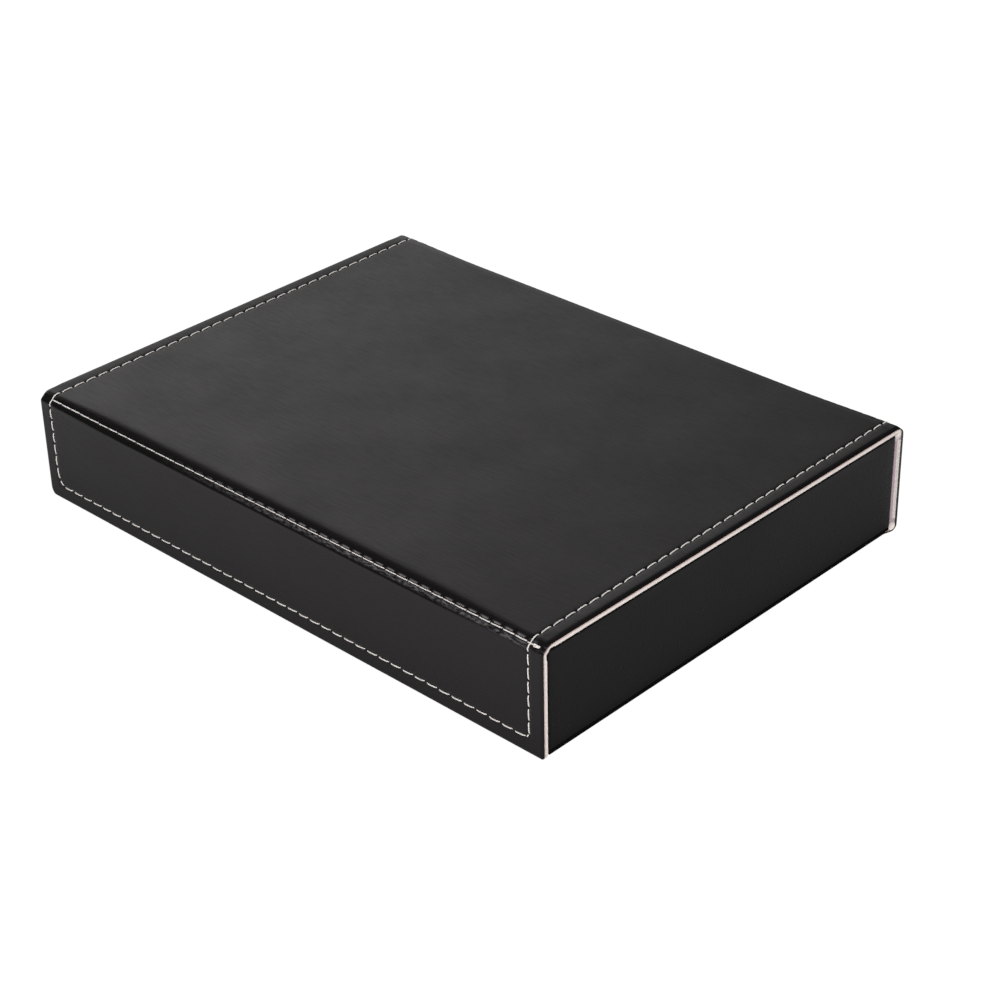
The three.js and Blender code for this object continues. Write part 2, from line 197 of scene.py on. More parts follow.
def cover_yz(s, depth):
    """Place in (y, z) of a point of the sheet, depth in from its outer face."""
    y = z = 0.0
    on_back = (S_BOTTOM + S_BACK) / 2
    on_lid = (S_BACK + S_FRONT) / 2
    arc_y, arc_z = HALF_DEPTH - FOLD_RADIUS, HEIGHT - FOLD_RADIUS
    folds = (
        (-np.inf, on_back, S_BOTTOM, arc_y, FOLD_RADIUS, -45),
        (on_back, on_lid, S_BACK, arc_y, arc_z, 45),
        (on_lid, np.inf, S_FRONT, -arc_y, arc_z, 135),
    )
    for low, high, middle, centre_y, centre_z, degrees in folds:
        here = (s >= low) & (s < high)
        t = s - middle
        on_arc = np.clip(t, -HALF_ARC, HALF_ARC)
        angle = math.radians(degrees) + on_arc / FOLD_RADIUS
        radius = FOLD_RADIUS - depth
        past = t - on_arc
        y = np.where(here, centre_y + radius * np.cos(angle) - past * np.sin(angle), y)
        z = np.where(here, centre_z + radius * np.sin(angle) + past * np.cos(angle), z)
    return y, z


def half_width(x, s):
    """Half of the sheet's length along x: less under the tray, and at the flap's round corners."""
    base = (tray_high.x - BASE_INSET - HALF_LENGTH) * (1 - smooth(s, S_BOTTOM - 7, S_BOTTOM + 1))
    corner = np.where(x < 0, FLAP_CORNER, FLAP_CORNER_RIGHT)
    past = np.clip(corner - (S_END - s), 0, corner)
    return HALF_LENGTH + base - corner + np.sqrt(corner ** 2 - past ** 2)


def cover_xyz(x, s, depth):
    """Place of points of the sheet. x is squeezed near the ends where the sheet is narrower."""
    inner = ROW_X - 4
    squeeze = (half_width(x, s) - inner) / (HALF_LENGTH - inner)
    ends = inner + (np.abs(x) - inner) * squeeze
    y, z = cover_yz(s, depth)
    return np.stack([np.where(np.abs(x) > inner, np.sign(x) * ends, x), y, z], -1)


# Where the needle went through


def spread(start, end, pitch):
    """Holes from start to end at about the pitch."""
    count = max(1, round(abs(end - start) / pitch))
    return np.linspace(start, end, count + 1)


def flap_row():
    """Holes of the row down the flap's sides and along its free edge, as (x, s)."""
    top = S_FRONT + CROSSINGS["front"][1]
    left = [(-ROW_X, s) for s in np.linspace(top, S_ROW - CORNER_LEFT, SIDE_HOLES)]
    left[-1] = (-ROW_X + 0.7, S_ROW - CORNER_LEFT + 0.6)
    low = [(x, S_ROW) for x in spread(-ROW_X + CORNER_LEFT, ROW_X - CORNER_RIGHT, PITCH)]
    right = [(ROW_X, s) for s in np.linspace(S_ROW - CORNER_RIGHT, top, SIDE_HOLES)]
    return left + low + right


def end_rows(start, end):
    """Holes of the two rows along the ends of a panel."""
    return [[(x, s) for s in spread(start, end, PITCH)] for x in (-ROW_X, ROW_X)]


def fold_row(s, past_left, past_right, pitch):
    return [(x, s) for x in spread(-ROW_X - past_left, ROW_X + past_right, pitch)]


def crossing_rows(name):
    """The stitches that cross a fold's row at each end of the case."""
    before, after = CROSSINGS[name]
    s = FOLD_PLACES[name]
    return [[(x, s - before), (x, s + after)] for x in (-ROW_X, ROW_X)]


LID_START = S_BACK + CROSSINGS["back"][1]
LID_ROWS = end_rows(LID_START, S_FRONT - CROSSINGS["front"][0])
SPINE_ROWS = end_rows(S_BOTTOM + CROSSINGS["bottom"][1], S_BACK - CROSSINGS["back"][0])
FLAP_ROW = flap_row()
FOLD_ROWS = {
    "bottom": fold_row(S_BOTTOM, ROW_PAST, ROW_PAST, PITCH),
    "back": fold_row(S_BACK, ROW_PAST, ROW_PAST, PITCH),
    "front": fold_row(S_FRONT, 0, FRONT_ROW_PAST, FRONT_PITCH),
}
ALL_HOLES = np.array(
    [hole for row in [*LID_ROWS, *SPINE_ROWS, FLAP_ROW, *FOLD_ROWS.values()] for hole in row]
    + [(x, S_BOTTOM - CROSSINGS["bottom"][0]) for x in (-ROW_X, ROW_X)]
)


# Relief of the leather


def line_groove(distance, width):
    return np.exp(-((distance / width) ** 2))


def hole_dips(x, s):
    """How deep the needle holes pull the leather in, 0 to 1."""
    dips = np.zeros(x.shape)
    for hole_x, hole_s in ALL_HOLES:
        block = np.ix_(np.abs(s[:, 0] - hole_s) < 3 * HOLE, np.abs(x[0] - hole_x) < 3 * HOLE)
        square = (x[block] - hole_x) ** 2 + (s[block] - hole_s) ** 2
        dips[block] = np.maximum(dips[block], np.exp(-square / HOLE ** 2))
    return dips


def waves(x, s):
    """Slow unevenness of a sheet of leather over board."""
    return (
        0.45 * np.sin(x / 31 + 1.3) * np.sin(s / 27 + 0.4)
        + 0.35 * np.sin(x / 17 - s / 23 + 2.1)
        + 0.2 * np.sin(x / 9 + s / 11 + 0.7)
    )


def plain_facet(x):
    """How far from the corner a fold's flat facet meets the panel before it and the one after it."""
    reach = 2.3 + 1.5 * smooth(to_end(x), 0, 60)
    return reach, reach


def front_facet(x):
    """The same for the front fold, whose facet is wide on the lid and narrower on the right."""
    left = smooth(x, -HALF_LENGTH, -95)
    right = smooth(x, 95, HALF_LENGTH)
    return 4.0 + 2.3 * left - 2.0 * right, 3.7 + 0.9 * left - 1.0 * right


def facet_sink(x, t, name):
    """How far a fold lies inside its round corner: its leather is pulled flat over the boards' gap."""
    before, after = front_facet(x) if name == "front" else plain_facet(x)
    turn = math.pi / 4 + np.clip(t, -HALF_ARC, HALF_ARC) / FOLD_RADIUS
    sine, cosine = np.maximum(np.sin(turn), 0.02), np.maximum(np.cos(turn), 0.02)
    run = FOLD_RADIUS / before + FOLD_RADIUS / after - 1
    on_arc = FOLD_RADIUS - run / (sine / before + cosine / after)
    reach = FOLD_RADIUS + np.clip(np.abs(t) - HALF_ARC, 0, None)
    on_panel = np.where(t < 0, after * (1 - reach / before), before * (1 - reach / after))
    facet = np.where(np.abs(t) > HALF_ARC, on_panel, on_arc)
    corner_round = 0.25
    to_panels = [(FOLD_RADIUS - FOLD_RADIUS / side) / corner_round for side in (cosine, sine)]
    panels = np.logaddexp(*to_panels) * corner_round
    rounding = 0.26 + 0.4 * (1 - smooth(t, -3, 0.5))
    depth = rounding * np.logaddexp(facet / rounding, panels / rounding)
    return depth * (1 - smooth(np.abs(t), HALF_ARC + 2.6, STRIP - 0.3))


def fold_sink(x, s):
    """facet_sink of whichever fold is near."""
    sinks = []
    for name, middle in FOLD_PLACES.items():
        sinks.append(np.where(np.abs(s - middle) < STRIP, facet_sink(x, s - middle, name), 0))
    return sum(sinks)


def pucker_strength(x):
    """The front fold is puckered most towards its right end."""
    return 0.14 + 0.86 * smooth(x, -75, 45)


def fold_relief(x, t, name):
    """Detail of a stitched fold: a groove along the row, puffs between its holes and wrinkles below."""
    strength = pucker_strength(x) if name == "front" else 0.2
    inside = 1 - smooth(np.abs(x), ROW_X + 3, ROW_X + 6)
    groove = -FOLD_GROOVE * line_groove(t, FOLD_GROOVE_WIDTH) * (0.3 + 0.7 * inside)
    first, second = (hole[0] for hole in FOLD_ROWS[name][:2])
    phase = np.cos(2 * math.pi * (x - first) / (second - first))
    between = (0.5 - 0.5 * phase) ** 0.5
    jitter = 1 + 0.3 * np.sin(x / 2.9 + 1) * np.sin(x / 7.3)
    upper = PUFF * between * jitter * window(t, -2.1, -0.75, -0.75, -0.35)
    lower = LOWER_PUFF * between * line_groove(t - 1.3, 0.5)
    crease = -CREASE * np.clip(phase, 0, 1) ** 8 * line_groove(np.abs(t) - 1.8, 0.9)
    along_ripple = np.sin(x / 0.5 + 2.4 * np.sin(x / 3.7) + t * 1.5)
    ripple = along_ripple * np.sin(t / 0.4 + x / 1.9 + 1.7 * np.sin(x / 5.9))
    clumps = 0.6 + 0.4 * np.sin(x / 4.3 + 1.1 * np.sin(x / 11))
    wrinkles = WRINKLE * ripple * clumps * window(t, 0.8, 1.4, 2.6, 3.4)
    board = -BOARD_LINE * line_groove(t - BOARD_LINE_PLACE, BOARD_LINE_WIDTH) * jitter
    puckers = strength * (upper + lower + wrinkles + board)
    return groove + inside * (puckers + (0.4 + 0.6 * strength) * crease)


def relief(x, s):
    """Height of the leather's outer face over the plain sheet."""
    height = UNEVENNESS * waves(x, s) * smooth(to_end(x), 0, 12)
    for name, middle in FOLD_PLACES.items():
        near = np.abs(s - middle) < STRIP
        height = height + np.where(near, fold_relief(x, s - middle, name), 0)
    outside = np.abs(x) - ROW_X
    along = (s > S_BOTTOM - CROSSINGS["bottom"][0]) & (s < S_ROW)
    height = height - np.where(along, ROW_GROOVE * line_groove(outside, GROOVE_WIDTH), 0)
    on_lid = window(s, S_BACK + 5, S_BACK + 12, S_FRONT - 12, S_FRONT - 7)
    between_holes = np.cos(2 * math.pi * (s - LID_START) / PITCH + math.pi)
    swell = 0.6 + 0.4 * between_holes + 0.5 * np.sin(s / 13 + x / 40)
    strip = STRIP_SWELL * swell * line_groove(outside - 2.1, 1.1) + STRIP_RISE * smooth(outside, 0.4, 5.2)
    foot = FOOT_GROOVE * line_groove(s - S_ROW, GROOVE_WIDTH) * (1 - smooth(outside, 0, 1.5))
    return height + on_lid * strip - foot - HOLE_DIP * hole_dips(x, s)


def edge_drop(distance, width, drop, fullness=2.0):
    """How far a rolled edge falls away at a distance in from it."""
    inside = np.clip(1 - distance / width, 0, 1)
    return drop * (1 - (1 - inside ** fullness) ** (1 / fullness))


def leather_drop(x, s):
    """The roll of the leather over the boards' edges, which is slight on the spine."""
    to_foot = np.where(s > S_ROW, S_END - s, ROLL_WIDTH)
    rolled = smooth(s, S_BACK - 3, S_BACK + 3)
    width = ROLL_WIDTH + (FLAP_ROLL_WIDTH - ROLL_WIDTH) * smooth(s, S_FRONT - 3, S_FRONT + 3)
    wide = edge_drop(np.minimum(to_end(x), to_foot), width, ROLL_DROP, 1.5)
    slight = edge_drop(to_end(x), SPINE_ROLL_WIDTH, SPINE_ROLL_DROP)
    return slight + (wide - slight) * rolled


# Meshes


def add_uv(mesh, name, places):
    layer = mesh.uv_layers.new(name=name)
    corner_vertex = np.zeros(len(mesh.loops), int)
    mesh.loops.foreach_get("vertex_index", corner_vertex)
    layer.data.foreach_set("uv", np.asarray(places, float)[corner_vertex].ravel())


def new_object(name, vertices, faces, material, uv=None, smooth_angle=40, layer=None):
    """A mesh object from vertices in millimetres, with texture places for each vertex."""
    mesh = bpy.data.meshes.new(name)
    mesh.from_pydata((np.asarray(vertices, float) * MM).tolist(), [], faces)
    mesh.update()
    if uv is not None:
        add_uv(mesh, "UVMap", np.asarray(uv, float) * MM)
    if layer is not None:
        add_uv(mesh, "Layer", np.stack([layer, 0 * layer], -1))
    mesh.shade_smooth()
    mesh.set_sharp_from_angle(angle=math.radians(smooth_angle))
    mesh.materials.append(material)
    made = bpy.data.objects.new(name, mesh)
    bpy.context.scene.collection.objects.link(made)
    return made


def numbered(grid):
    """A number for each point of a grid, row by row."""
    rows, columns = grid.shape[:2]
    return np.arange(rows * columns).reshape(rows, columns)


def grid_faces(index):
    """Faces between the rows and columns of a grid of vertex numbers."""
    return np.stack([index[:-1, :-1], index[:-1, 1:], index[1:, 1:], index[1:, :-1]], -1).reshape(-1, 4)


def slab(name, outer, inner, uv, material, smooth_angle=40, layer=None):
    """A closed sheet between two grids of points, outer one first. layer is the depth of each, 0 to 1."""
    vertices = np.concatenate([outer.reshape(-1, 3), inner.reshape(-1, 3)])
    index = numbered(outer)
    border = np.concatenate([index[0, :-1], index[:-1, -1], index[-1, :0:-1], index[:0:-1, 0]])
    following = np.roll(border, -1)
    walls = np.stack([border, following, following + index.size, border + index.size], -1)
    faces = np.concatenate([grid_faces(index)[:, ::-1], grid_faces(index + index.size), walls])
    beside = [0, 1.3]
    texture = np.concatenate([uv.reshape(-1, 2), uv.reshape(-1, 2) + beside])
    if layer is not None:
        layer = np.concatenate([face.ravel() for face in layer])
    return new_object(name, vertices, faces.tolist(), material, texture, smooth_angle, layer)


def merge_places(low, high, *groups):
    """Sorted places between two limits, no two closer than a little, least of all near the limits."""
    apart, apart_near_limit, near_limit, margin = 0.22, 0.08, 1.2, 0.04
    places = np.sort(np.concatenate([np.atleast_1d(g) for g in groups]))
    places = places[(places > low + margin) & (places < high - margin)]
    kept = [low]
    for place in places:
        inside = high - place > near_limit and place - low > near_limit
        if place - kept[-1] > (apart if inside else apart_near_limit):
            kept.append(place)
    kept.append(high)
    return np.array(kept)


def across_case(*groups):
    return merge_places(-HALF_LENGTH, HALF_LENGTH, *groups)


def hole_places(row, axis, below=np.inf):
    """Places that follow a row's holes, along x (0) or s (1): close at each hole, wide apart between."""
    holes = np.array(sorted({hole[axis] for hole in row if hole[axis] < below}))
    steps = np.array([-1.7, -0.85, -0.4, 0, 0.4, 0.85, 1.7])
    middles = (holes[1:] + holes[:-1]) / 2
    return np.concatenate([(holes[:, None] + steps).ravel(), middles])


# The cover's leather


ROLL_STEPS = np.array([1.2, 1, 0.85, 0.7, 0.57, 0.45, 0.34, 0.24, 0.16, 0.09, 0.04, 0.015])
ROW_STEPS = np.array([-4, -2.2, -1.3, -0.8, -0.4, 0, 0.4, 0.8, 1.2, 1.6, 2.1, 2.6, 3.2, 4])
FOLD_STEPS = np.array([0.35, 0.7, 1.1, 1.5, 1.9, 2.3, 2.8, 3.3, 3.9, 4.6, 5.4, 6.2, 7.0, 8.0])
FOOT_STEPS = np.array([-3, -1.7, -0.85, -0.4, 0, 0.4, 0.85, 1.7, 3, 5])


def side_places():
    """Places along x across the two end rows and the rounded ends."""
    edge = HALF_LENGTH - ROLL_WIDTH * ROLL_STEPS
    wide = np.linspace(-ROW_X + 6, ROW_X - 6, 25)
    return np.concatenate([ROW_X + ROW_STEPS, -ROW_X - ROW_STEPS, edge, -edge, wide])


def sheet_piece(name, s_places, x_places):
    """One stretch of the cover's leather."""
    s, x = np.meshgrid(s_places, x_places, indexing="ij")
    drop = leather_drop(x, s)
    sink = fold_sink(x, s)
    detail = relief(x, s) * smooth(to_end(x), 0, 1)
    lip = on_spine(s) * near_end(x, 0.03, 0.13)
    place = x + np.sign(x) * LIP * lip
    outer = cover_xyz(place, s, drop + sink - detail)
    inner = cover_xyz(place, s, LEATHER + sink + (LIP_DEPTH - LEATHER) * lip)
    outer_layer = drop / LEATHER - 1.8 * (1 - smooth(s, S_BACK - 1, S_BACK + 4))
    # painted shade: on the base, the inner side and cut edge near the ends of its front half and along its
    # front edge show the leather's black instead of the pale backing, as these edges lie in shade
    under_tray = (1 - smooth(s, S_BOTTOM - 130, S_BOTTOM - 80)) * near_end(x, 2, 3)
    painted_shade_edge = (name == "base_cover") * np.maximum(under_tray, 1 - smooth(s, S_BASE + 2, S_BASE + 3))
    turned_in = on_spine(s) * near_end(x, 0.8, 1.4)
    layer = (outer_layer, 1 - np.maximum(painted_shade_edge, turned_in))
    piece = slab(name, outer, inner, np.stack([x, s], -1), COVER_LEATHER, layer=layer)
    return piece


def bend(piece):
    """Bakes the placement of a piece drawn across a fold into its mesh; the piece is already bent by the
    sheet's coordinates.
    """
    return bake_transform(piece)


def make_cover():
    ends = side_places()
    base = np.linspace(S_BASE, S_BOTTOM - STRIP, 24)
    spine, lid = (hole_places(rows[0], 1) for rows in (SPINE_ROWS, LID_ROWS))
    for panel, low, high, places, body in (
        ("base", S_BASE, S_BOTTOM - STRIP, base, "tray"),
        ("spine", S_BOTTOM + STRIP, S_BACK - STRIP, spine, "spine"),
        ("lid", S_BACK + STRIP, S_FRONT - STRIP, lid, "lid"),
    ):
        piece = sheet_piece(f"{panel}_cover", merge_places(low, high, places), across_case(ends))
        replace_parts(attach(piece, body), f"{panel}_leather")
    for name, middle in FOLD_PLACES.items():
        before, after = CROSSINGS[name]
        crossing_ends = [end + step for end in (-before, after) for step in (-0.4, 0, 0.4)]
        steps = np.concatenate([-FOLD_STEPS, [0], FOLD_STEPS, crossing_ends])
        fine = np.arange(-ROW_X - 3, ROW_X + 6, 0.45)
        row = fine if name == "front" else hole_places(FOLD_ROWS[name], 0)
        across = merge_places(middle - STRIP, middle + STRIP, middle + steps)
        bend(sheet_piece(f"{name}_fold_cover", across, across_case(ends, row)))
    edge = S_END - ROLL_WIDTH * ROLL_STEPS
    corner = S_END - FLAP_CORNER * np.array([1, 0.8, 0.6])
    sides = hole_places(FLAP_ROW, 1, S_ROW - 1)
    down = merge_places(S_FRONT + STRIP, S_END, sides, S_ROW + FOOT_STEPS, edge, corner)
    piece = sheet_piece("flap_cover", down, across_case(ends, hole_places(FLAP_ROW, 0)))
    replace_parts(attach(piece, "flap"), "flap_leather")


# The cover's lining


SEWN_STEPS = np.array([-3, -1.5, -0.7, 0, 0.7, 1.5, 3])


def lining_piece(name, s_places, low_depth, high_depth):
    """A stretch of padded lining between two depths, each a function of the place along the sheet."""
    corners = [HALF_LENGTH - 0.5, 0.5 - HALF_LENGTH, HALF_LENGTH - 2, 2 - HALF_LENGTH]
    wide = np.linspace(-ROW_X + 5, ROW_X - 5, 48)
    x_places = across_case(ROW_X + SEWN_STEPS, -ROW_X - SEWN_STEPS, wide, corners)
    s, x = np.meshgrid(s_places, x_places, indexing="ij")
    outer_depth, inner_depth = low_depth(x, s), high_depth(x, s)
    sewn = 0.35 * line_groove(np.abs(x) - ROW_X, 1.2) + 0.04 * waves(x * 1.7, s * 1.3)
    if name == "flap_lining_cover":
        sewn = sewn + 0.35 * line_groove(s - S_ROW, 1.2) * (np.abs(x) < ROW_X)
    for middle in FOLD_PLACES.values():
        sewn = sewn + 0.3 * line_groove(s - middle, 1.3)
    to_foot = np.where(s > S_ROW, S_END - s, LINING_ROUND)
    rounding = sum(edge_drop(distance, LINING_ROUND, LINING_ROUND) for distance in (to_end(x), to_foot))
    pressed = np.minimum(sewn + rounding, (inner_depth - outer_depth) * 0.7)
    inset = SPINE_LINING_INSET / HALF_LENGTH * on_spine(s)
    inner = cover_xyz(x * (1 - inset), s, inner_depth - pressed)
    outer_inset = inset * smooth(from_fold(s), BOARD_EDGE - 0.6, BOARD_EDGE + 0.4)
    outer = cover_xyz(x * (1 - outer_inset), s, outer_depth)
    return slab(name, outer, inner, np.stack([x, s], -1), LINING, 50)


def under_board(x, s):
    return np.full(np.shape(s), UNDER_BOARD)


def under_fold(x, s):
    """Outer depth of the lining in a fold: against the leather between the boards' edges."""
    in_gap = from_fold(s) < BOARD_EDGE + GLUE / 2
    return np.where(in_gap, LEATHER + GLUE + fold_sink(x, s), UNDER_BOARD)


def full_depth(x, s):
    """Inner depth of the lining, which is pressed thin towards the cover's free edges."""
    to_edge = np.minimum(to_end(x), np.where(s > S_ROW, S_END - s, ROW_INSET))
    pinch = EDGE_PINCH * (1 - smooth(to_edge, 1.2, 6.5)) * (1 - on_spine(s))
    lump = 0.8 * line_groove(s - S_FRONT, 1.3) * smooth(x, HALF_LENGTH - 2.5, HALF_LENGTH - 1)
    return np.maximum(COVER - pinch, under_fold(x, s) + FOLD_LINING) + lump


def foot_depth(x, s):
    """Inner depth of the lining at the bottom fold, where it thins out under the tray's edge."""
    thin = LEATHER + GLUE + FOLD_LINING / 2
    thickening = thin + (COVER - thin) * smooth(s - S_BOTTOM, -2.4, 5.5)
    return np.maximum(thickening, under_fold(x, s) + FOLD_LINING / 2)


def make_lining():
    for body, low, high, count in (
        ("spine", S_BOTTOM + STRIP, S_BACK - STRIP, 12),
        ("lid", S_BACK + STRIP, S_FRONT - STRIP, 50),
    ):
        down = np.linspace(low, high, count)
        piece = lining_piece(f"{body}_lining_cover", down, under_board, full_depth)
        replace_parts(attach(piece, body), f"{body}_lining")
    edge = S_END - np.array([0.5, 0.3, 0.1])
    corner = S_END - FLAP_CORNER * np.array([1, 0.75, 0.5, 0.3])
    wide = np.linspace(S_FRONT + STRIP, S_ROW - 4, 9)
    down = merge_places(S_FRONT + STRIP, S_END, wide, S_ROW + SEWN_STEPS, edge, corner)
    piece = lining_piece("flap_lining_cover", down, under_board, full_depth)
    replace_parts(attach(piece, "flap"), "flap_lining")
    board_steps = BOARD_EDGE + np.array([-0.2, 0.2])
    for name in ("back", "front"):
        middle = FOLD_PLACES[name]
        steps = np.concatenate([-board_steps, board_steps, np.linspace(-4.5, 4.5, 15)])
        across = merge_places(middle - STRIP, middle + STRIP, middle + steps)
        bend(lining_piece(f"{name}_fold_lining", across, under_fold, full_depth))
    steps = np.concatenate([board_steps, np.linspace(-2, 5.5, 14)])
    across = merge_places(S_BOTTOM - 2.4, S_BOTTOM + STRIP, S_BOTTOM + steps)
    bend(lining_piece("bottom_fold_lining", across, under_fold, foot_depth))


# Sewing thread


def surface_height(x, s):
    """Height of the leather without its holes, that a stitch lies on."""
    height = -fold_sink(x, s) - 0.1
    for middle in FOLD_PLACES.values():
        height = height - FOLD_GROOVE * line_groove(s - middle, 0.8)
    return height


def stitch_rings(start, end, lift, sink, slant, gap, thick, sides=8, steps=11):
    """Rings of one stitch in sheet coordinates (x, s, height), from one hole to the next."""
    along = (end - start) / np.linalg.norm(end - start)
    start, end = start + gap * along, end - gap * along
    length = np.linalg.norm(end - start)
    across = np.array([-along[1], along[0]])
    f = np.concatenate([[0.035], np.linspace(0.06, 0.94, steps - 2), [0.965]])
    bow = np.abs(2 * f - 1)
    height = -sink + (lift + sink) * (1 - bow ** 5)
    lateral = slant * (0.5 - f) + 0.06 * np.sin(math.pi * f)
    centre = start + np.outer(f * length, along) + np.outer(lateral, across)
    turn = np.linspace(0, 2 * math.pi, sides, endpoint=False)
    fat = thick * (0.72 + 0.28 * np.clip((1 - bow) * 6, 0, 1))
    flat = centre[:, None] + (THREAD_WIDE * fat)[:, None, None] * np.sin(turn)[None, :, None] * across
    high = height[:, None] + (THREAD_HIGH * fat)[:, None] * np.cos(turn)[None]
    return flat, high, f * length


def thread_rows(name, rows, depth=0.0, lifts=(0.2, 0.42), slant=0.3, gap=HOLE_GAP, thick=1.0):
    """Stitches from hole to hole on the outer face, or on the inner one where depth is the cover's."""
    vertices, faces, texture = [], [], []
    side = -1 if depth else 1
    wander, round_thread = 0.1, 2.4
    lift, sink = lifts
    count = 0
    for row in rows:
        for start, end in zip(row[:-1], row[1:]):
            wobble = RNG.uniform(-1, 1, 5)
            start = np.array(start) + wander * wobble[:2]
            end = np.array(end) + wander * wobble[2:4]
            flat, high, run = stitch_rings(start, end, lift + 0.04 * wobble[4], sink, slant, gap, thick)
            base = surface_height(flat[..., 0], flat[..., 1]) if not depth else 0
            points = cover_xyz(flat[..., 0], flat[..., 1], depth - side * (high + base))
            vertices.append(points.reshape(-1, 3))
            turn = np.linspace(0, round_thread, high.shape[1], endpoint=False)
            texture.append(np.stack(np.broadcast_arrays(run[:, None], turn[None]), -1).reshape(-1, 2))
            ring = count + numbered(high)
            faces += grid_faces(np.pad(ring, ((0, 0), (0, 1)), "wrap"))[:, ::side].tolist()
            faces += [ring[0][::-side].tolist(), ring[-1][::side].tolist()]
            count += high.size
    made = new_object(name, np.concatenate(vertices), faces, THREAD, np.concatenate(texture), 60)
    return made


def make_stitches():
    inside = {"depth": COVER, "lifts": (0.02, 0.25), "slant": -0.3}
    for body, rows, threads in (
        ("spine", SPINE_ROWS, ("thread_left", "thread_right")),
        ("lid", LID_ROWS, ("thread_left", "thread_right")),
        ("flap", [FLAP_ROW], ("edge_thread",)),
    ):
        row = thread_rows(f"{body}_stitches", rows)
        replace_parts(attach(row, body), *(f"{body}_{thread}" for thread in threads))
        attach(thread_rows(f"{body}_stitches_inside", rows, **inside), body)
    in_fold = {"lifts": (0.34, 0.1), "slant": 0.14, "gap": 0.1, "thick": 1.22}
    for name in FOLD_PLACES:
        rows = [FOLD_ROWS[name]]
        row = thread_rows(f"{name}_fold_stitches", rows, **in_fold)
        lift = 0.42 if name == "front" else 0.12
        over = thread_rows(f"{name}_fold_crossing", crossing_rows(name), lifts=(lift, 0.3), slant=0.2)
        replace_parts(bend(row), f"{name}_fold_thread")
        bend(over)
        if name != "bottom":
            bend(thread_rows(f"{name}_fold_inside", rows, **inside))
    turns = ((0.8, -0.55, 4.4, -0.1), (1.2, 0.65, 4.9, 0.3), (2.2, 0.1, 5.3, -0.3))
    knot = [[(ROW_X + a, S_FRONT + b), (ROW_X + c, S_FRONT + d)] for a, b, c, d in turns]
    bend(thread_rows("front_row_knot", knot, lifts=(0.5, 0.1), slant=0.1, thick=1.35))


# Tray


def tray_ring(section, per_side, per_corner):
    """Sweeps a section of (inset, z) points round the tray's outline. Returns a grid of points."""
    half_x = (tray_high.x - tray_low.x) / 2
    half_y = (tray_high.y - tray_low.y) / 2
    middle_y = (tray_high.y + tray_low.y) / 2
    along = np.linspace(0, 1, per_side + 1)[1:-1, None]
    grid = []
    for inset, z in section:
        radius = max(WRAP_CORNER - inset, WRAP_SMALLEST)
        corners = []
        for quarter, (sign_x, sign_y) in enumerate(((1, 1), (-1, 1), (-1, -1), (1, -1))):
            centre = np.array([sign_x * (half_x - inset - radius), sign_y * (half_y - inset - radius)])
            angles = (quarter + np.linspace(0, 1, per_corner + 1)) * math.pi / 2
            corners.append(centre + radius * np.stack([np.cos(angles), np.sin(angles)], -1))
        ring = []
        for corner, following in zip(corners, corners[1:] + corners[:1]):
            ring += [corner, corner[-1] + (following[0] - corner[-1]) * along]
        flat = np.concatenate(ring) + [0, middle_y]
        grid.append(np.column_stack([flat, np.full(len(flat), z)]))
    return np.array(grid)


def arc_points(centre, radius, start, end, steps):
    """Points of an arc in (inset, z), angles in degrees."""
    angles = np.radians(np.linspace(start, end, steps + 1))
    return [(centre[0] + radius * math.cos(a), centre[1] + radius * math.sin(a)) for a in angles]


def make_tray():
    """Leather wrapped over the walls' rim and turned in, with soft edges."""
    skin, wall, turned, bottom, rim = 0.8, 4.8, 3.4, 0.8, 1.2
    low, high = tray_low.z, tray_high.z
    section = [(wall - 0.1, high - turned), (wall, high - turned + 0.1), (wall, high - turned / 2)]
    section += arc_points((wall - rim, high - rim), rim, 0, 90, 5)
    section += arc_points((rim, high - rim), rim, 90, 180, 5)
    section += [(0, z) for z in np.linspace(high - rim - 4, low + 6, 6)]
    section += [(-out, low + z) for out, z in FOOT_RIDGE]
    section += arc_points((bottom, low + bottom), bottom, 180, 270, 6)
    section += [(skin + 2.0, low), (skin + 1.2, low + 0.6), (skin, low + bottom)]
    under_rim = high - skin - 0.2
    section += [(skin, under_rim), (wall - skin, under_rim), (wall - skin, high - turned)]
    grid = tray_ring(section, 40, 8)
    x, y, z = np.moveaxis(grid, -1, 0)
    outward = np.array([1.0 if inset < 0.01 else 0.0 for inset, _ in section])[:, None]
    drawn_in = WRAP_BULGE * (1 - waves(x * 1.6 + z, y * 1.4 + z * 2)) * outward
    at_side = (np.abs(x) > tray_high.x - 0.1, np.abs(y) > tray_high.y - 0.4, 0 * z)
    grid = grid - np.sign(grid) * np.stack(at_side, -1) * drawn_in[..., None]
    uv = (grid[..., :2] + grid[..., 2:]).reshape(-1, 2)
    faces = grid_faces(np.pad(numbered(grid), (0, 1), "wrap"))[:, ::-1].tolist()
    piece = new_object("tray_wrap", grid.reshape(-1, 3), faces, TRAY_LEATHER, uv, 50)
    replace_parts(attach(piece, "tray"), "tray_leather")


# Inside of the tray


def box_grid(counts):
    """Vertices on the sides of a box, in whole steps along each of its edges, and its faces."""
    quads = []
    for axis in range(3):
        first, second = (other for other in range(3) if other != axis)
        for side in (0, 1):
            quad = np.full((counts[first], counts[second], 4, 3), side * counts[axis])
            quad[..., first] = np.arange(counts[first])[:, None, None] + [0, 1, 1, 0]
            quad[..., second] = np.arange(counts[second])[:, None] + [0, 0, 1, 1]
            outward = (side == 1) == (axis != 1)
            quads.append((quad if outward else quad[:, :, ::-1]).reshape(-1, 3))
    vertices, faces = np.unique(np.concatenate(quads), axis=0, return_inverse=True)
    return vertices, faces.reshape(-1, 4).tolist()


